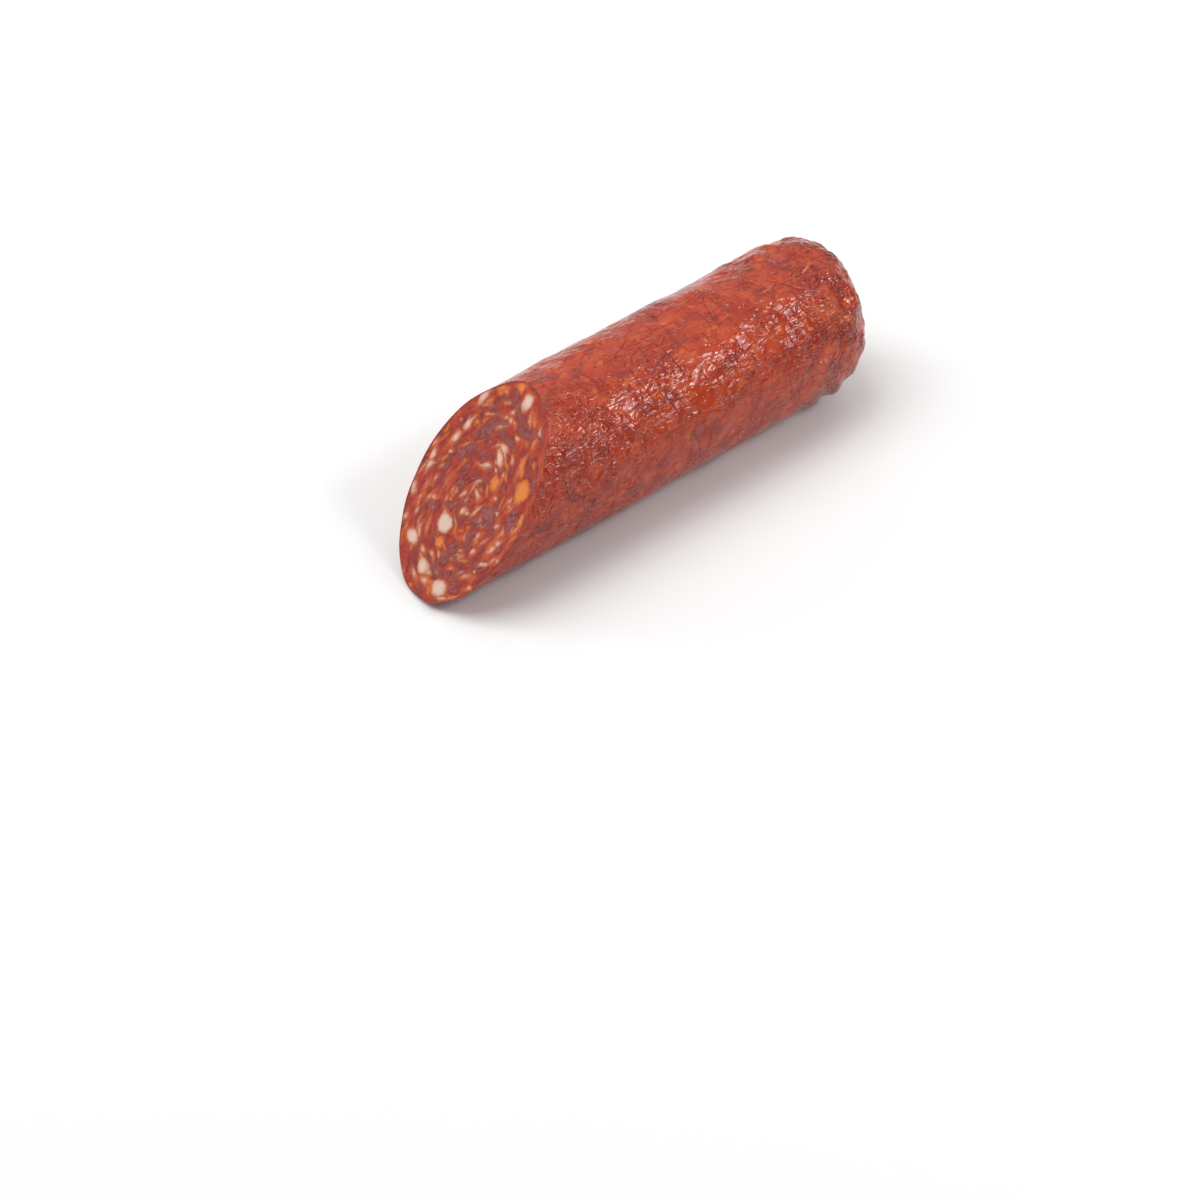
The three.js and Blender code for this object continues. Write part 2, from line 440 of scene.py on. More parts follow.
def piece_distance(x, y, piece):
    """How deep a place lies inside an oval piece, in millimetres, below 0 outside it: its half width times
    1 less the distance from its middle in half lengths and half widths."""
    _, middle_x, middle_y, half_length, half_width, turn = piece
    c, s = np.cos(np.radians(turn)), np.sin(np.radians(turn))
    lengthwise = (c * (x - middle_x) + s * (y - middle_y)) / half_length
    crosswise = (c * (y - middle_y) - s * (x - middle_x)) / half_width
    return half_width * (1.0 - np.hypot(lengthwise, crosswise))


def small_pieces():
    """Scattered bits of mince: places drawn evenly over the cut, lying along the swirl give or take a
    little, with most of them small. Returns them like the larger pieces."""
    draw = np.random.default_rng(BIT_SEED)
    pieces = []
    for _ in range(BIT_COUNT):
        reach = np.sqrt(draw.uniform(0.0, 0.97))
        turn = draw.uniform(0.0, 2.0 * np.pi)
        x = RADIUS * reach * np.cos(turn)
        y = RADIUS * SLOPE * reach * np.sin(turn)
        kind = draw.choice(list(BITS), p=[share for share, _, _ in BITS.values()])
        _, usual_length, usual_width = BITS[kind]
        half_length = usual_length * draw.lognormal(0.0, 0.42)
        half_width = usual_width * draw.lognormal(0.0, 0.35)
        lie = np.degrees(swirl_direction(x, y)) + draw.normal(0.0, 16.0)
        pieces.append((kind, x, y, half_length, min(half_width, half_length), lie))
    return pieces


def wandering(flat, seed):
    """How far the edges of pieces stray, in millimetres: a broad soft noise and a finer, lower one."""
    return 0.8 * soft_noise(flat, 5.0, seed) + 0.35 * soft_noise(flat, 1.7, seed + 1)


def marbling(x, y):
    """Depth inside fat, stained fat and lean at each place on the cut, in millimetres and below 0 outside,
    and the streaks of the mince between them. Each larger piece pushes the other kinds out of its place."""
    flat = np.stack([x, y, np.zeros(x.shape)], axis=-1)
    stray_x, stray_y = wandering(flat, 3), wandering(flat, 5)
    fields = {kind: np.full(x.shape, NO_PIECE) for kind in BITS}
    for piece in small_pieces():
        fields[piece[0]] = np.maximum(fields[piece[0]], piece_distance(x + stray_x, y + stray_y, piece))
    for kind, share in STRAYING.items():
        for piece in (p for p in PIECES if p[0] == kind):
            depth = piece_distance(x + share * stray_x, y + share * stray_y, piece)
            fields[kind] = np.maximum(fields[kind], depth)
            for other in (k for k in fields if k != kind):
                fields[other] = np.minimum(fields[other], -depth)
    streak_x, streak_y = x + STREAK_STRAYING * stray_x, y + STREAK_STRAYING * stray_y
    swirl = stretched(streak_x, streak_y, across=1.7, lengthwise=4.6)
    return fields, layered_noise(swirl, size=1.0, seed=71, layers=3)


def cut_surface(side):
    """Points of the cut face on a bent square grid, and its masks. The face is wavy by two long cosines. Fat
    stands a little proud and lean has dried in a little, and it rounds off under the casing's edge."""
    a, b = disc_grid(side)
    share = np.minimum(np.hypot(a, b), 1.0)
    angle = np.arctan2(b, a)
    rim = cut_rim(angle)
    middle = np.array([0.0, 0.0, AXIS_HEIGHT])
    face = middle + (rim - middle) * share[..., None]
    across, height = face[..., 1], face[..., 2]
    wave = np.cos(0.14 * across + 0.09 * height) + np.cos(0.05 * across - 0.17 * height + 1.3)
    along = cut_along(across, height) + CUT_WAVINESS * np.sin(np.pi * share) * wave
    fields, streaks = marbling(across, (height - AXIS_HEIGHT) * SLOPE)
    edge = np.linalg.norm(rim - face, axis=-1)
    proud = sum(stand * ease(fields[kind] / reach) for kind, (stand, reach) in CUT_RELIEF.items())
    proud = proud + STREAK_HEIGHT * streaks - EDGE_DEPTH * ease(1.0 - edge / EDGE_WIDTH)
    raised = (proud * ease(edge / RELIEF_START))[..., None] * CUT_NORMAL
    points = np.stack([along, across, height], axis=-1) + raised
    masks = {kind: np.clip(0.5 + MASK_SLOPE * field, 0.0, 1.0) for kind, field in fields.items()}
    masks["streaks"] = 0.5 + 0.5 * streaks
    # The edge mask only sets the painted shade that darkens the meat near the rim
    masks["edge"] = ease(edge / RIM_SHADE_WIDTH)
    return points, masks


def grid_faces(rows, columns, closed):
    """Four corners of each face of a grid of points, joined round at the last column if it is closed."""
    index = np.arange(rows * columns).reshape(rows, columns)
    if closed:
        index = np.concatenate([index, index[:, :1]], axis=1)
    corners = index[:-1, :-1], index[:-1, 1:], index[1:, 1:], index[1:, :-1]
    return np.stack([corner.ravel() for corner in corners], axis=-1)


def make_piece(name, points, faces, masks, material):
    """Puts points in millimetres and their faces into a smooth mesh that rides on the one body, with each
    mask as an attribute of its points."""
    mesh = bpy.data.meshes.new(name)
    mesh.from_pydata((points * MM).tolist(), [], faces)
    mesh.update()
    mesh.polygons.foreach_set("use_smooth", np.ones(len(mesh.polygons), dtype=bool))
    for mask, values in masks.items():
        attribute = mesh.attributes.new(mask, "FLOAT", "POINT")
        attribute.data.foreach_set("value", values.astype(np.float32))
    mesh.materials.append(material)
    piece = bpy.data.objects.new(name, mesh)
    bpy.context.scene.collection.objects.link(piece)
    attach(piece, "root")
    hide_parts("sausage")


def stick_shift():
    """From the stick's own place to the frame: the middle of its node's box less that of its plain shape."""
    points, _ = casing_surface(*SOLID_GRID, detail=0.0)
    flat = points.reshape(-1, 3)
    low, high = (np.array(corner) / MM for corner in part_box("sausage"))
    shift = (low + high) / 2.0 - (flat.min(axis=0) + flat.max(axis=0)) / 2.0
    return np.array([shift[0], shift[1], 0.0])


def make_casing(material, shift):
    """The casing: the lip over the cut, the body and the dome as one sheet, closed by a fan at the nub."""
    around = CASING_GRID[0]
    skin, masks = casing_surface(*CASING_GRID, detail=1.0)
    lip = lip_surface(around)
    rows = np.concatenate([lip, skin[:-1]])
    points = np.concatenate([rows.reshape(-1, 3), skin[-1:, 0]])
    faces = grid_faces(len(rows), around, True).tolist()
    tip = len(rows) * around
    last = tip - around
    faces += [[last + i, last + (i + 1) % around, tip] for i in range(around)]
    # The lip carries a little of the painted crease shade, a darker line along the casing's edge over the
    # cut
    on_lip = {"slack": 0.0, "crease_shade": 0.3, "gathered": 0.0}
    values = {}
    for mask, value in masks.items():
        over_lip = np.full(lip.shape[:2], on_lip[mask])
        values[mask] = np.concatenate([over_lip.ravel(), value[:-1].ravel(), value[-1, :1]])
    make_piece("sausage_casing", points + shift, faces, values, material)


def make_cut_face(material, shift):
    """The cut face: the bent square grid with the marbling's masks."""
    points, masks = cut_surface(CUT_SIDE)
    flat = points.reshape(-1, 3) + shift
    faces = grid_faces(CUT_SIDE, CUT_SIDE, False).tolist()
    values = {mask: value.ravel() for mask, value in masks.items()}
    make_piece("sausage_cut_face", flat, faces, values, material)


# The colour sockets of a Mix node, by number because its sockets for numbers have the same names
MIX_SHARE = 0
MIX_TONE = 6
MIX_OTHER = 7
MIX_RESULT = 2


def plug(tree, socket, value):
    """Links a value that is a socket, and sets one that is a number or a colour."""
    if isinstance(value, bpy.types.NodeSocket):
        tree.links.new(value, socket)
    else:
        socket.default_value = value


def calculate(tree, operation, first, second=0.0, third=0.0):
    """The result of a sum on two or three numbers."""
    node = tree.nodes.new("ShaderNodeMath")
    node.operation = operation
    plug(tree, node.inputs[0], first)
    plug(tree, node.inputs[1], second)
    plug(tree, node.inputs[2], third)
    return node.outputs[0]


def times(tree, first, second):
    """The product of two numbers."""
    return calculate(tree, "MULTIPLY", first, second)


def plus(tree, total, layer, share=1.0):
    """A total with a share of another layer added."""
    return calculate(tree, "MULTIPLY_ADD", layer, share, total)


def band(tree, value, low, high):
    """A value eased from 0 to 1 between two bounds."""
    node = tree.nodes.new("ShaderNodeMapRange")
    node.interpolation_type = "SMOOTHSTEP"
    plug(tree, node.inputs["Value"], value)
    plug(tree, node.inputs["From Min"], low)
    plug(tree, node.inputs["From Max"], high)
    return node.outputs["Result"]


def blend(tree, share, tone, other):
    """A colour part of the way from one tone to another."""
    node = tree.nodes.new("ShaderNodeMix")
    node.data_type = "RGBA"
    plug(tree, node.inputs[MIX_SHARE], share)
    plug(tree, node.inputs[MIX_TONE], tone)
    plug(tree, node.inputs[MIX_OTHER], other)
    return node.outputs[MIX_RESULT]


def noise(tree, vector, scale, detail=3.0, roughness=0.6):
    """Noise from 0 to 1 with features of about 1 / scale metres."""
    node = tree.nodes.new("ShaderNodeTexNoise")
    plug(tree, node.inputs["Vector"], vector)
    plug(tree, node.inputs["Scale"], scale)
    node.inputs["Detail"].default_value = detail
    node.inputs["Roughness"].default_value = roughness
    return node.outputs["Fac"]


def along_stick(tree, vector, shares):
    """Object coordinates with each axis shortened, so that a pattern runs along the stick."""
    node = tree.nodes.new("ShaderNodeMapping")
    plug(tree, node.inputs["Vector"], vector)
    node.inputs["Scale"].default_value = shares
    return node.outputs["Vector"]


def new_group(name, inputs, outputs):
    """An empty shader node group with named inputs, each with its kind and value, and named outputs."""
    tree = bpy.data.node_groups.new(name, "ShaderNodeTree")
    for label, kind, value in inputs:
        socket = tree.interface.new_socket(label, in_out="INPUT", socket_type="NodeSocket" + kind)
        if value is not None:
            socket.default_value = value
    for label, kind in outputs:
        tree.interface.new_socket(label, in_out="OUTPUT", socket_type="NodeSocket" + kind)
    return tree, tree.nodes.new("NodeGroupInput").outputs, tree.nodes.new("NodeGroupOutput").inputs


def place_group(tree, group, values):
    """Puts a node group into a material with its own values, and returns its outputs."""
    node = tree.nodes.new("ShaderNodeGroup")
    node.node_tree = group
    for label, value in values.items():
        plug(tree, node.inputs[label], value)
    return node.outputs


def build_mottle():
    """Group: colour that drifts softly between two tones, in patches of about 1 / Scale metres."""
    tree, given, result = new_group(
        "mottle",
        [
            ("Vector", "Vector", None),
            ("Tone", "Color", (0.5, 0.5, 0.5, 1.0)),
            ("Other Tone", "Color", (0.4, 0.4, 0.4, 1.0)),
            ("Scale", "Float", 100.0),
            ("Amount", "Float", 1.0),
        ],
        [("Color", "Color")],
    )
    pattern = noise(tree, given["Vector"], given["Scale"], detail=5.0, roughness=0.62)
    share = times(tree, band(tree, pattern, 0.38, 0.64), given["Amount"])
    tree.links.new(blend(tree, share, given["Tone"], given["Other Tone"]), result["Color"])
    return tree


def build_oily_film():
    """Group: roughness that drifts between smeared oil and drier patches, and a fine grain for relief."""
    tree, given, result = new_group(
        "oily_film",
        [
            ("Vector", "Vector", None),
            ("Oily Roughness", "Float", 0.25),
            ("Dry Roughness", "Float", 0.45),
            ("Patch Scale", "Float", 60.0),
            ("Grain Scale", "Float", 1400.0),
        ],
        [("Roughness", "Float"), ("Grain", "Float")],
    )
    patch = band(tree, noise(tree, given["Vector"], given["Patch Scale"], detail=4.0), 0.35, 0.65)
    spread = calculate(tree, "SUBTRACT", given["Dry Roughness"], given["Oily Roughness"])
    total = calculate(tree, "ADD", times(tree, patch, spread), given["Oily Roughness"])
    tree.links.new(total, result["Roughness"])
    tree.links.new(noise(tree, given["Vector"], given["Grain Scale"], detail=2.0), result["Grain"])
    return tree


def wandered(tree, vector, scale, reach):
    """A vector pushed about by noise, so that straight borders between cells bend."""
    wander = tree.nodes.new("ShaderNodeTexNoise")
    plug(tree, wander.inputs["Vector"], vector)
    wander.inputs["Scale"].default_value = scale
    shift = tree.nodes.new("ShaderNodeVectorMath")
    shift.operation = "MULTIPLY_ADD"
    plug(tree, shift.inputs[0], wander.outputs["Color"])
    shift.inputs[1].default_value = (reach, reach, reach)
    plug(tree, shift.inputs[2], vector)
    return shift.outputs["Vector"]


def combine(tree, operation, first, second):
    """The result of a sum on two vectors, as the node's outputs."""
    node = tree.nodes.new("ShaderNodeVectorMath")
    node.operation = operation
    plug(tree, node.inputs[0], first)
    plug(tree, node.inputs[1], second)
    return node.outputs


def build_crumple():
    """Group: height of crumpled casing, as facets that each tilt their own way. They are scattered cells,
    each a slope taken from its own random value, eased down to a valley at the cell's border."""
    tree, given, result = new_group(
        "crumple",
        [
            ("Vector", "Vector", None),
            ("Scale", "Float", 300.0),
            ("Tilt", "Float", 1.0),
            ("Valley", "Float", 0.2),
        ],
        [("Height", "Float"), ("Border", "Float")],
    )
    place = wandered(tree, given["Vector"], scale=300.0, reach=0.0022)
    cells = tree.nodes.new("ShaderNodeTexVoronoi")
    borders = tree.nodes.new("ShaderNodeTexVoronoi")
    borders.feature = "DISTANCE_TO_EDGE"
    for node in (cells, borders):
        tree.links.new(place, node.inputs["Vector"])
        tree.links.new(given["Scale"], node.inputs["Scale"])
    offset = combine(tree, "SUBTRACT", place, cells.outputs["Position"])["Vector"]
    lean = combine(tree, "SUBTRACT", cells.outputs["Color"], (0.5, 0.5, 0.5))["Vector"]
    slope = combine(tree, "DOT_PRODUCT", offset, lean)["Value"]
    slope = times(tree, times(tree, slope, given["Scale"]), given["Tilt"])
    inside = band(tree, borders.outputs["Distance"], 0.0, 0.2)
    raised = calculate(tree, "ADD", slope, given["Valley"])
    tree.links.new(times(tree, raised, inside), result["Height"])
    tree.links.new(borders.outputs["Distance"], result["Border"])
    return tree


def build_fold_lines():
    """Group: hairline folds, from 1 in the line to 0 beside it. They are the borders of large cells, kept
    only where a soft noise passes a bound."""
    tree, given, result = new_group(
        "fold_lines",
        [
            ("Vector", "Vector", None),
            ("Scale", "Float", 80.0),
            ("Width", "Float", 0.03),
            ("Bound", "Float", 0.5),
        ],
        [("Line", "Float")],
    )
    place = wandered(tree, given["Vector"], scale=120.0, reach=0.004)
    cells = tree.nodes.new("ShaderNodeTexVoronoi")
    cells.feature = "DISTANCE_TO_EDGE"
    tree.links.new(place, cells.inputs["Vector"])
    tree.links.new(given["Scale"], cells.inputs["Scale"])
    line = band(tree, cells.outputs["Distance"], given["Width"], 0.0)
    above = calculate(tree, "ADD", given["Bound"], 0.08)
    kept = band(tree, noise(tree, given["Vector"], given["Scale"], detail=1.0), given["Bound"], above)
    tree.links.new(times(tree, line, kept), result["Line"])
    return tree


def build_seen_through():
    """Group: soft-edged patches where bits of the filling show through the casing, kept where a noise that
    has been pushed about passes a bound."""
    tree, given, result = new_group(
        "seen_through",
        [
            ("Vector", "Vector", None),
            ("Scale", "Float", 150.0),
            ("Bound", "Float", 0.6),
            ("Softness", "Float", 0.12),
        ],
        [("Mask", "Float")],
    )
    place = wandered(tree, given["Vector"], scale=260.0, reach=0.004)
    patches = noise(tree, place, given["Scale"], detail=1.5, roughness=0.4)
    above = calculate(tree, "ADD", given["Bound"], given["Softness"])
    tree.links.new(band(tree, patches, given["Bound"], above), result["Mask"])
    return tree


def new_material(name):
    """A material with an empty tree but for its shader, and its object coordinates."""
    material = bpy.data.materials.new(name)
    material.use_nodes = True
    tree = material.node_tree
    shader = tree.nodes["Principled BSDF"]
    coordinates = tree.nodes.new("ShaderNodeTexCoord").outputs["Object"]
    return material, tree, shader, coordinates


def mask_of(tree, name):
    """A mask that the piece carries on its points."""
    node = tree.nodes.new("ShaderNodeAttribute")
    node.attribute_name = name
    return node.outputs["Fac"]


def add_bump(tree, height):
    """A normal from a height in millimetres."""
    node = tree.nodes.new("ShaderNodeBump")
    node.inputs["Strength"].default_value = 1.0
    node.inputs["Distance"].default_value = MM
    plug(tree, node.inputs["Height"], height)
    return node.outputs["Normal"]


def folds_in(tree, groups, vector, scale, width, bound):
    """The fold_lines group placed in a material: 1 in a hairline fold and 0 beside it."""
    values = {"Vector": vector, "Scale": scale, "Width": width, "Bound": bound}
    return place_group(tree, groups["fold_lines"], values)["Line"]


def crumpled(tree, groups, vector, scale, tilt, valley):
    """The crumple group placed in a material, as its outputs."""
    values = {"Vector": vector, "Scale": scale, "Tilt": tilt, "Valley": valley}
    return place_group(tree, groups["crumple"], values)


def filling_in(tree, groups, vector, scale, bound, softness):
    """The seen_through group placed in a material: 1 where the filling shows through the casing."""
    values = {"Vector": vector, "Scale": scale, "Bound": bound, "Softness": softness}
    return place_group(tree, groups["seen_through"], values)["Mask"]


def mottled(tree, groups, vector, tone, other, scale, amount=1.0):
    """The mottle group placed in a material: a colour that drifts between two tones."""
    values = {"Vector": vector, "Tone": tone, "Other Tone": other, "Scale": scale, "Amount": amount}
    return place_group(tree, groups["mottle"], values)["Color"]


def tint(tree, tone, mask, share, other):
    """A colour with another laid over it where a mask is, at most by a share."""
    return blend(tree, times(tree, mask, share), tone, other)


# Colours of the casing, in linear light
CASING_RED = (0.42, 0.040, 0.008, 1.0)
CASING_DEEP_RED = (0.32, 0.023, 0.006, 1.0)
OVER_FAT = (0.52, 0.066, 0.014, 1.0)
OVER_STAINED_FAT = (0.60, 0.115, 0.018, 1.0)
OVER_LEAN = (0.21, 0.020, 0.012, 1.0)
BROWNED_CASING = (0.18, 0.016, 0.009, 1.0)
YELLOWED_CASING = (0.56, 0.105, 0.028, 1.0)
# Painted shade: the brown that the creases, the hairline folds and the valleys between facets are darkened
# towards
PAINTED_FOLD_SHADE = (0.15, 0.010, 0.006, 1.0)


def casing_tone(tree, groups, place, lengthways):
    """Colour of the casing: brick red, orange where fat lies under it and purplish brown where lean does,
    with browned and yellowed patches where it is gathered at the closed end."""
    fat = filling_in(tree, groups, place, scale=120.0, bound=0.52, softness=0.18)
    stained_fat = filling_in(tree, groups, place, scale=230.0, bound=0.60, softness=0.14)
    lean = filling_in(tree, groups, lengthways, scale=135.0, bound=0.54, softness=0.16)
    gathered = mask_of(tree, "gathered")
    browned = band(tree, noise(tree, place, scale=85.0, detail=3.0), 0.47, 0.60)
    yellowed = band(tree, noise(tree, lengthways, scale=62.0, detail=2.0), 0.56, 0.66)
    tone = mottled(tree, groups, place, CASING_RED, CASING_DEEP_RED, scale=85.0)
    tone = tint(tree, tone, fat, 0.6, OVER_FAT)
    tone = tint(tree, tone, stained_fat, 0.6, OVER_STAINED_FAT)
    tone = tint(tree, tone, lean, 0.65, OVER_LEAN)
    tone = tint(tree, tone, times(tree, browned, gathered), 0.6, BROWNED_CASING)
    return tint(tree, tone, times(tree, yellowed, gathered), 0.5, YELLOWED_CASING)


def casing_material(groups):
    """Casing under a film of oil, crumpled into facets where it is slack, some smooth and some finely
    rippled, with painted shade darkening its hairline folds, creases and the valleys between facets."""
    material, tree, shader, place = new_material("oily_casing")
    slack = mask_of(tree, "slack")
    streaked = along_stick(tree, place, (0.28, 1.0, 1.0))
    round_stick = along_stick(tree, place, (1.0, 0.3, 0.3))
    lengthways = along_stick(tree, place, (0.6, 1.0, 1.0))
    hoops = folds_in(tree, groups, round_stick, scale=105.0, width=0.026, bound=0.48)
    long_folds = folds_in(tree, groups, streaked, scale=210.0, width=0.05, bound=0.48)
    facets = crumpled(tree, groups, lengthways, scale=255.0, tilt=2.0, valley=0.09)
    crinkles = crumpled(tree, groups, streaked, scale=460.0, tilt=1.6, valley=0.16)
    # Painted shade: darker colour in the creases, in the hairline folds and, where the casing is slack, in
    # the valleys between facets
    dark = calculate(tree, "MAXIMUM", mask_of(tree, "crease_shade"), times(tree, hoops, 0.65))
    dark = calculate(tree, "MAXIMUM", dark, times(tree, long_folds, 0.5))
    valley = times(tree, band(tree, facets["Border"], 0.10, 0.0), slack)
    dark = calculate(tree, "MAXIMUM", dark, times(tree, valley, 0.45))
    tone = casing_tone(tree, groups, place, lengthways)
    plug(tree, shader.inputs["Base Color"], tint(tree, tone, dark, 0.65, PAINTED_FOLD_SHADE))
    film = {"Vector": place, "Oily Roughness": 0.10, "Dry Roughness": 0.18}
    plug(tree, shader.inputs["Roughness"], place_group(tree, groups["oily_film"], film)["Roughness"])
    rippled = band(tree, noise(tree, place, scale=130.0, detail=1.0), 0.40, 0.56)
    rippled = calculate(tree, "MULTIPLY_ADD", rippled, 0.85, 0.15)
    ripples = plus(tree, noise(tree, streaked, scale=620.0, detail=0.0), crinkles["Height"], 0.7)
    height = plus(tree, facets["Height"], times(tree, ripples, rippled), 0.8)
    height = times(tree, height, calculate(tree, "MULTIPLY_ADD", slack, 0.30, 0.42))
    wrinkles = times(tree, noise(tree, streaked, scale=1100.0, detail=0.0), slack)
    height = plus(tree, height, times(tree, wrinkles, rippled), 0.45)
    height = plus(tree, height, hoops, -0.25)
    height = plus(tree, height, long_folds, -0.2)
    plug(tree, shader.inputs["Normal"], add_bump(tree, height))
    shader.inputs["Specular IOR Level"].default_value = 0.44
    return material


# Colours of the cut meat, in linear light
MINCE_RED = (0.40, 0.030, 0.008, 1.0)
MINCE_DEEP_RED = (0.29, 0.018, 0.011, 1.0)
MINCE_ORANGE = (0.50, 0.085, 0.013, 1.0)
MINCE_PURPLE = (0.23, 0.024, 0.026, 1.0)
ROUND_FAT = (0.55, 0.12, 0.018, 1.0)
DARK_LEAN = (0.20, 0.028, 0.024, 1.0)
# Lighter pink patches on the lean, partly its own tone and partly painted sheen
PINK_LEAN_AND_SHEEN = (0.29, 0.070, 0.062, 1.0)
STAINED_EDGE = (0.52, 0.11, 0.016, 1.0)
STAINED_FAT = (0.68, 0.20, 0.030, 1.0)
FAT_EDGE = (0.54, 0.19, 0.11, 1.0)
WHITE_FAT = (0.67, 0.475, 0.38, 1.0)
# Painted shade along the rim of the cut, under the casing's edge
PAINTED_RIM_SHADE = (0.20, 0.012, 0.008, 1.0)


def mince_tone(tree, groups, place, streaks, fat):
    """Colour of the mince between the pieces: red, with orange streaks in some zones and purplish ones in
    the others, and orange round the fat."""
    mince = mottled(tree, groups, place, MINCE_RED, MINCE_DEEP_RED, scale=330.0)
    orange_zone = band(tree, noise(tree, place, scale=95.0, detail=2.0), 0.36, 0.60)
    streaked = times(tree, band(tree, streaks, 0.46, 0.86), orange_zone)
    mince = blend(tree, streaked, mince, MINCE_ORANGE)
    purple_zone = calculate(tree, "SUBTRACT", 1.15, orange_zone)
    shaded = times(tree, band(tree, streaks, 0.58, 0.30), purple_zone)
    mince = tint(tree, mince, shaded, 0.9, MINCE_PURPLE)
    return tint(tree, mince, band(tree, fat, 0.14, 0.48), 0.5, ROUND_FAT)


def cut_meat_material(groups):
    """Moist cut meat: a red and orange mince with white and stained fat and dark, glossier lean in it. The
    lean's lighter pink patches are partly painted sheen, and painted shade darkens the meat near the rim.
    """
    material, tree, shader, place = new_material("cut_meat")
    ragged = calculate(tree, "SUBTRACT", noise(tree, place, scale=800.0, detail=3.0), 0.5)
    ragged = times(tree, ragged, 0.26)
    depths = {kind: calculate(tree, "ADD", mask_of(tree, kind), ragged) for kind in BITS}
    in_fat = band(tree, depths["fat"], 0.40, 0.66)
    in_orange = band(tree, depths["orange"], 0.38, 0.60)
    in_lean = band(tree, depths["lean"], 0.38, 0.78)
    streaks = plus(tree, mask_of(tree, "streaks"), ragged, 0.8)
    tone = mince_tone(tree, groups, place, streaks, depths["fat"])
    # The lean drifts to lighter pink patches, partly its own tone and partly painted sheen
    lean = mottled(tree, groups, place, DARK_LEAN, PINK_LEAN_AND_SHEEN, scale=260.0, amount=0.8)
    tone = tint(tree, tone, in_lean, 0.92, lean)
    stained = blend(tree, band(tree, depths["orange"], 0.5, 0.95), STAINED_EDGE, STAINED_FAT)
    tone = blend(tree, in_orange, tone, stained)
    fat = blend(tree, band(tree, depths["fat"], 0.46, 1.0), FAT_EDGE, WHITE_FAT)
    tone = blend(tree, in_fat, tone, fat)
    # Painted shade: the meat darkens towards the rim, under the casing's edge
    rim = band(tree, mask_of(tree, "edge"), 0.30, 0.0)
    plug(tree, shader.inputs["Base Color"], tint(tree, tone, rim, 0.7, PAINTED_RIM_SHADE))
    moisture = {"Vector": place, "Oily Roughness": 0.34, "Dry Roughness": 0.5}
    grain = {"Patch Scale": 240.0, "Grain Scale": 1800.0}
    film = place_group(tree, groups["oily_film"], moisture | grain)
    plug(tree, shader.inputs["Roughness"], plus(tree, film["Roughness"], in_lean, -0.18))
    shreds = times(tree, noise(tree, place, scale=280.0, detail=1.0), in_lean)
    height = times(tree, film["Grain"], 0.10)
    height = plus(tree, height, noise(tree, place, scale=620.0, detail=2.0), 0.40)
    height = plus(tree, height, shreds, 0.9)
    height = plus(tree, height, in_fat, 0.06)
    plug(tree, shader.inputs["Normal"], add_bump(tree, height))
    shader.inputs["Specular IOR Level"].default_value = 0.22
    shader.inputs["Subsurface Weight"].default_value = 0.08
    shader.inputs["Subsurface Radius"].default_value = (1.0, 0.3, 0.15)
    shader.inputs["Subsurface Scale"].default_value = 0.0012
    return material


# The floor and the white surroundings
FLOOR_SIDE = 8.0
FLOOR_TONE = (0.82, 0.82, 0.82, 1.0)
ROOM_STRENGTH = 0.24


def make_floor():
    """A plain pale floor, level with the surface that the stick lies on."""
    half = FLOOR_SIDE / 2.0
    corners = [(-half, -half, 0.0), (half, -half, 0.0), (half, half, 0.0), (-half, half, 0.0)]
    mesh = bpy.data.meshes.new("floor")
    mesh.from_pydata(corners, [], [(0, 1, 2, 3)])
    material = bpy.data.materials.new("pale_floor")
    material.use_nodes = True
    shader = material.node_tree.nodes["Principled BSDF"]
    shader.inputs["Base Color"].default_value = FLOOR_TONE
    shader.inputs["Roughness"].default_value = 0.9
    shader.inputs["Specular IOR Level"].default_value = 0.1
    mesh.materials.append(material)
    floor = bpy.data.objects.new("floor", mesh)
    bpy.context.scene.collection.objects.link(floor)


def direction(azimuth, elevation):
    """Unit vector from the stick towards a place at an azimuth and an elevation in degrees. Azimuth 0 is on
    the -Y side, and it grows towards +X."""
    a, e = np.radians(azimuth), np.radians(elevation)
    return Vector((np.sin(a) * np.cos(e), -np.cos(a) * np.cos(e), np.sin(e)))


def aim(thing, place, target):
    """Puts a lamp or camera at a place, looking at a target."""
    thing.location = place
    thing.rotation_euler = (Vector(target) - Vector(place)).to_track_quat("-Z", "Y").to_euler()


def make_softbox(name, azimuth, elevation, distance, width, height, watts):
    """A rectangular area lamp that looks at the stick."""
    lamp = bpy.data.lights.new(name, "AREA")
    lamp.shape = "RECTANGLE"
    lamp.size = width
    lamp.size_y = height
    lamp.energy = watts
    box = bpy.data.objects.new(name, lamp)
    bpy.context.scene.collection.objects.link(box)
    target = Vector((0.0, 0.0, AXIS_HEIGHT * MM))
    aim(box, target + distance * direction(azimuth, elevation), target)


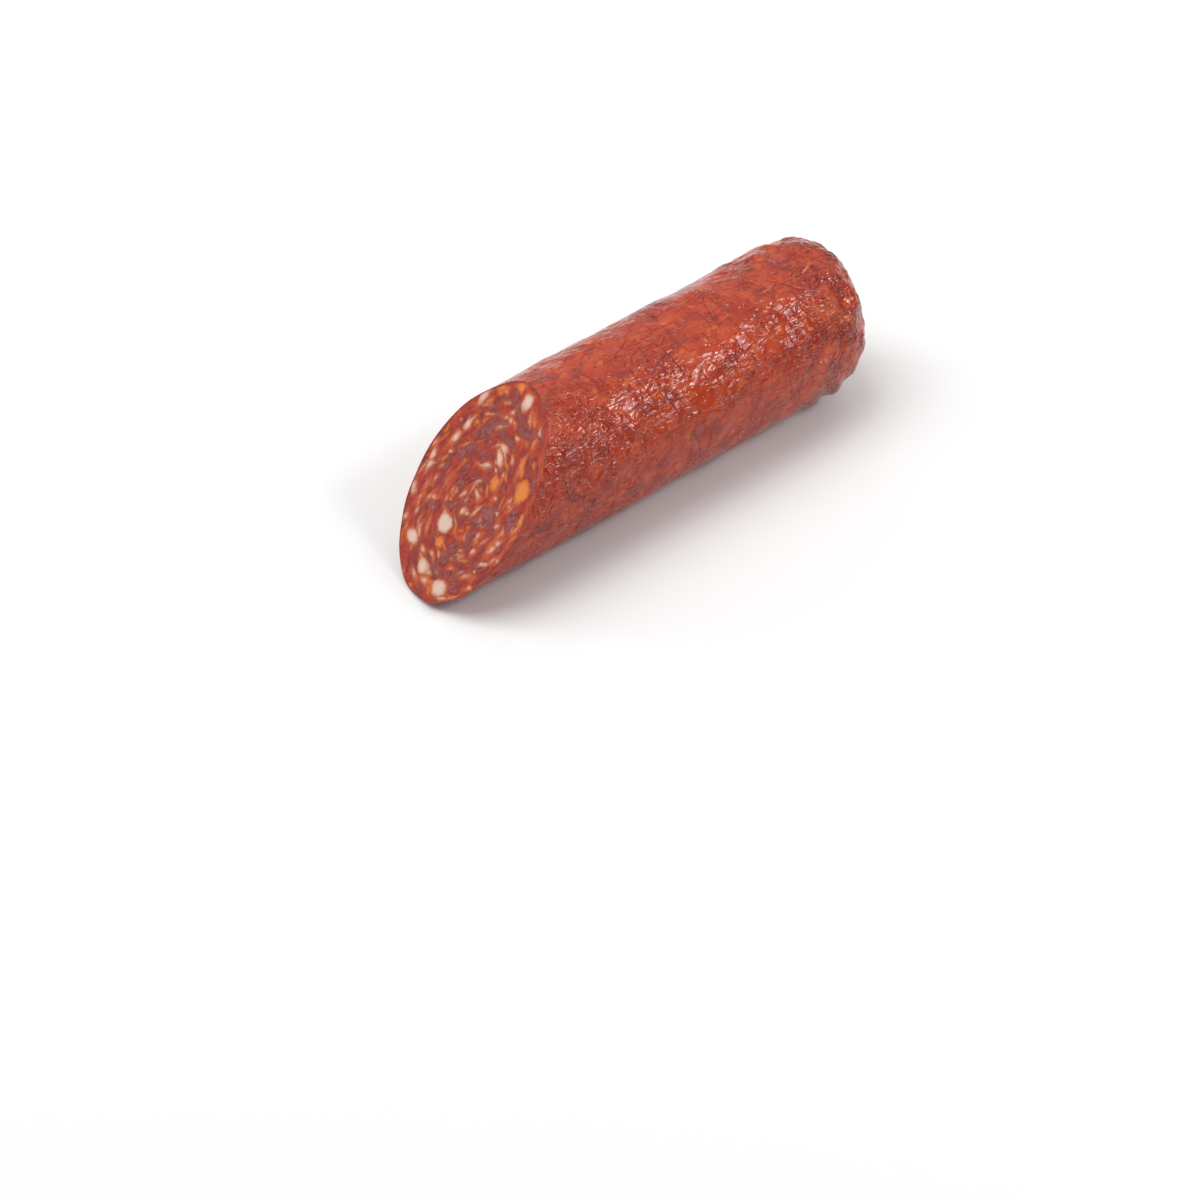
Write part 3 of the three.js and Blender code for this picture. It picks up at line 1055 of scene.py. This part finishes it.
# The lamps: azimuth and elevation in degrees, distance, width and height in metres, and watts. The first
# three stand where the casing's near side mirrors them to the camera as glints.
LAMPS = {
    "right_softbox": (40.7, 41.0, 1.7, 0.9, 0.5, 6.9),
    "right_lamp": (40.7, 41.0, 1.6, 0.36, 0.2, 3.2),
    "low_lamp": (26.0, 22.0, 1.6, 0.4, 0.2, 2.0),
    "left_softbox": (-144.6, 20.0, 1.7, 0.6, 0.6, 6.0),
    "overhead": (-130.0, 66.0, 2.0, 1.6, 1.6, 29.0),
    "back_softbox": (124.0, 51.0, 2.0, 2.4, 2.4, 14.0),
}


def make_lights():
    """White surroundings and the lamps."""
    world = bpy.data.worlds.new("white_room")
    bpy.context.scene.world = world
    world.use_nodes = True
    background = world.node_tree.nodes["Background"]
    background.inputs["Color"].default_value = (1.0, 1.0, 1.0, 1.0)
    background.inputs["Strength"].default_value = ROOM_STRENGTH
    for name, lamp in LAMPS.items():
        make_softbox(name, *lamp)


# The camera: where it stands from the middle of its view, in degrees and millimetres, its lens, and the
# middle of its view, which is close to the resting surface
CAMERA_AZIMUTH = -40.83
CAMERA_ELEVATION = 41.31
CAMERA_DISTANCE = 1736.7
CAMERA_LENS = 119.4
SENSOR_WIDTH = 36.0
VIEW_MIDDLE = (-68.4, -56.0, -1.6)


def make_camera():
    """The camera, at the height and side that the stick is seen from."""
    camera = bpy.data.cameras.new("camera")
    camera.sensor_width = SENSOR_WIDTH
    camera.lens = CAMERA_LENS
    camera.clip_end = 50.0
    thing = bpy.data.objects.new("camera", camera)
    bpy.context.scene.collection.objects.link(thing)
    target = Vector(VIEW_MIDDLE) * MM
    place = target + CAMERA_DISTANCE * MM * direction(CAMERA_AZIMUTH, CAMERA_ELEVATION)
    aim(thing, place, target)
    bpy.context.scene.camera = thing


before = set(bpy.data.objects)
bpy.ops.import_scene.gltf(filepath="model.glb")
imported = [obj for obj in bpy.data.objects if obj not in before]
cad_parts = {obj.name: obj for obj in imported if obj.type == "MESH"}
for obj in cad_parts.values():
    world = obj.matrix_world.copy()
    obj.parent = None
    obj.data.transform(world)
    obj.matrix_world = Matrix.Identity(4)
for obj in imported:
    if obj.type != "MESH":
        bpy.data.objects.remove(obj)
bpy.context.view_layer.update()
bpy.context.scene.view_settings.view_transform = "Standard"
make_camera()
make_lights()
make_floor()
groups = {
    "mottle": build_mottle(),
    "oily_film": build_oily_film(),
    "crumple": build_crumple(),
    "fold_lines": build_fold_lines(),
    "seen_through": build_seen_through(),
}
shift = stick_shift()
make_casing(casing_material(groups), shift)
make_cut_face(cut_meat_material(groups), shift)
